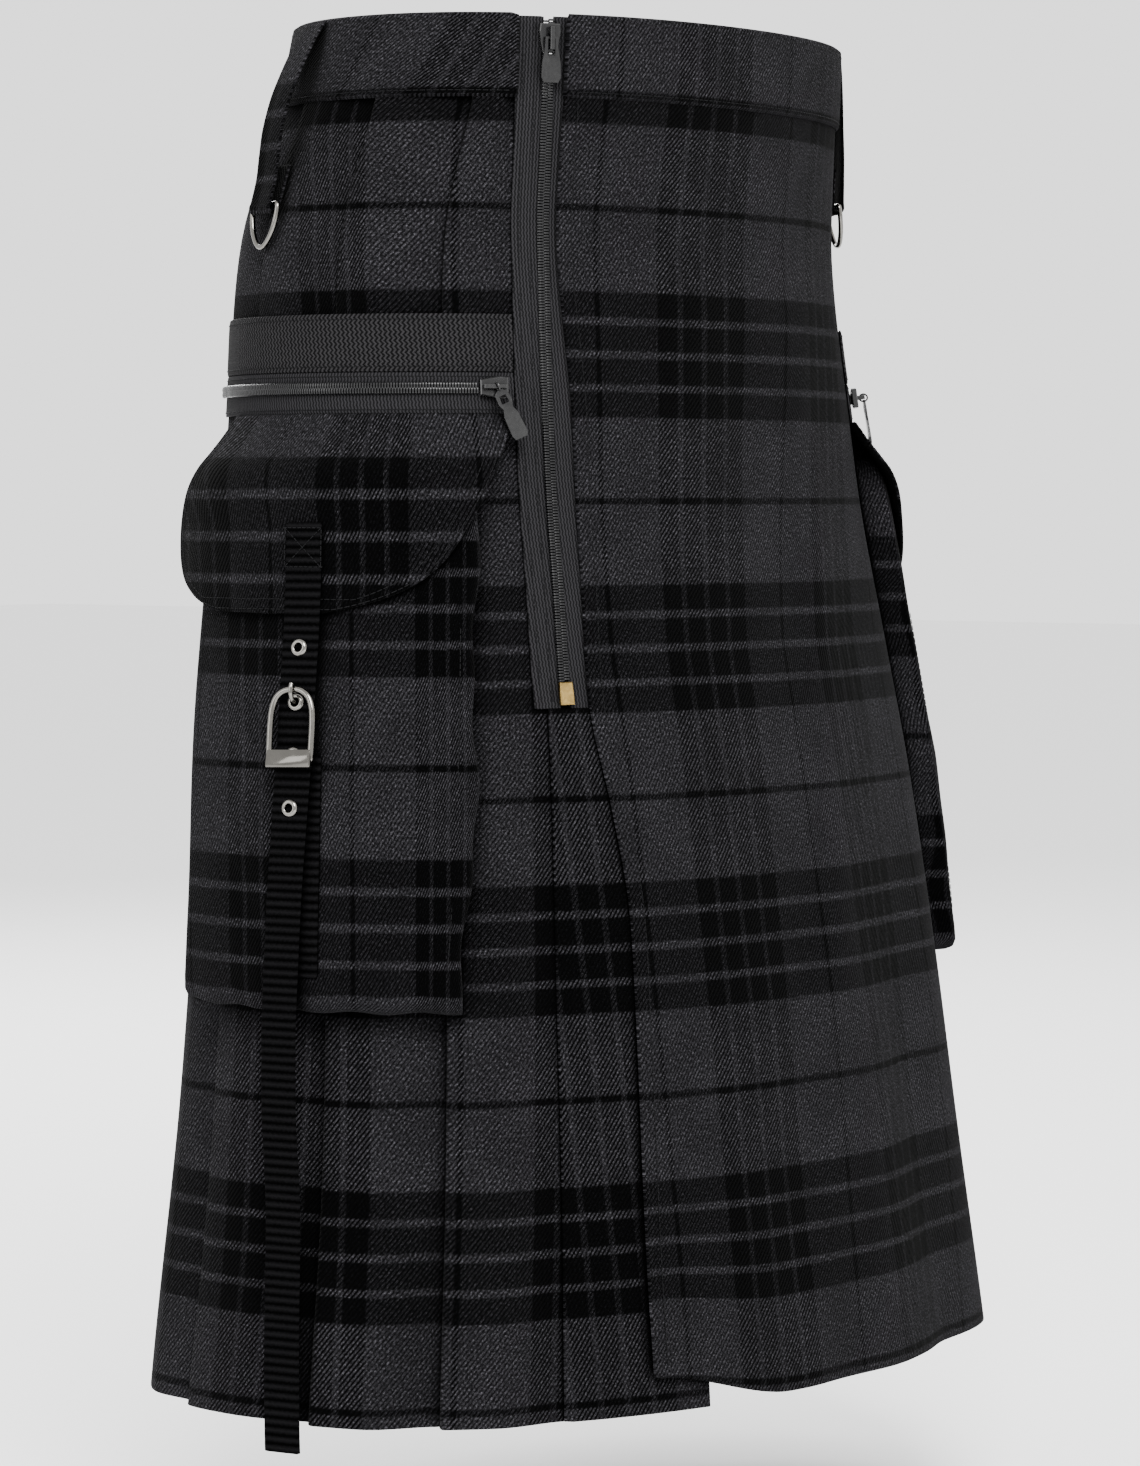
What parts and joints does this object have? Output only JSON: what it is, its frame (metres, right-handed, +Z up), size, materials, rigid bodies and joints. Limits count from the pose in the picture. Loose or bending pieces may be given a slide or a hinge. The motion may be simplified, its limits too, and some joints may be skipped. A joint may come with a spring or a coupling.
{
  "type": "utility kilt",
  "caption": "Knee-length pleated kilt with a flat front apron, an open-faced side-front zip, a cargo pocket with strap and buckle on each hip and hanging D-rings.",
  "frame": {"origin": "centre of the waistband at half its height, where the wearer's waist holds the kilt", "axes": "+Z up towards the waist, the wearer faces -Y, the wearer's right is -X"},
  "size_m": [0.492, 0.317, 0.6215],
  "materials": {
    "wool": "matte",
    "webbing": "satin",
    "zip_tape": "matte",
    "coil": "satin",
    "black_metal": "gloss",
    "nickel": "polished",
    "brass": "satin"
  },
  "bodies": {
    "kilt": {"apron": "wool", "buckle_left": "nickel", "buckle_right": "nickel", "eyelet_1_left": "nickel", "eyelet_1_right": "nickel", "eyelet_2_left": "nickel", "eyelet_2_right": "nickel", "eyelet_3_left": "nickel", "eyelet_3_right": "nickel", "eyelet_4_left": "nickel", "eyelet_4_right": "nickel", "front_underlay": "wool", "front_zip_coil": "coil", "front_zip_slider": "black_metal", "front_zip_stop": "brass", "front_zip_tape_inner": "zip_tape", "front_zip_tape_outer": "zip_tape", "pocket_bag_left": "wool", "pocket_bag_right": "wool", "pocket_flap_left": "wool", "pocket_flap_right": "wool", "pocket_zip_coil_left": "coil", "pocket_zip_coil_right": "coil", "pocket_zip_slider_left": "black_metal", "pocket_zip_slider_right": "black_metal", "pocket_zip_tape_left": "zip_tape", "pocket_zip_tape_right": "zip_tape", "ring_loop_left": "wool", "ring_loop_right": "wool", "skirt_back": "wool", "skirt_left": "wool", "skirt_right": "wool", "strap_base_left": "webbing", "strap_base_right": "webbing", "strap_tail_left": "webbing", "strap_tail_right": "webbing", "waistband_back": "wool", "waistband_front": "wool", "webbing_left": "webbing", "webbing_right": "webbing"},
    "front_pull": {"front_zip_pull": "black_metal"},
    "pocket_pull_right": {"pocket_zip_pull_right": "black_metal"},
    "pocket_pull_left": {"pocket_zip_pull_left": "black_metal"},
    "ring_right": {"d_ring_right": "nickel"},
    "ring_left": {"d_ring_left": "nickel"}
  },
  "joints": [
    {"name": "front_pull_swing", "type": "hinge", "parent": "kilt", "child": "front_pull", "pos_m": [-0.11289, -0.07959, 0.00791], "axis": [-0.838, 0.5456, 0.0091], "range_deg": [0, 150]},
    {"name": "pocket_pull_right_swing", "type": "hinge", "parent": "kilt", "child": "pocket_pull_right", "pos_m": [-0.14139, -0.07188, -0.14515], "axis": [-0.7877, 0.6161, 0.0022], "range_deg": [0, 100]},
    {"name": "pocket_pull_left_swing", "type": "hinge", "parent": "kilt", "child": "pocket_pull_left", "pos_m": [0.14139, -0.07188, -0.14515], "axis": [-0.7877, -0.6161, -0.0022], "range_deg": [0, 100]},
    {"name": "ring_right_swing", "type": "hinge", "parent": "kilt", "child": "ring_right", "pos_m": [-0.16631, 0.04103, -0.063], "axis": [0.332, 0.9433, 0], "range_deg": [0, 80]},
    {"name": "ring_left_swing", "type": "hinge", "parent": "kilt", "child": "ring_left", "pos_m": [0.1483, -0.04886, -0.052], "axis": [-0.6358, -0.7719, 0], "range_deg": [0, 80]}
  ]
}
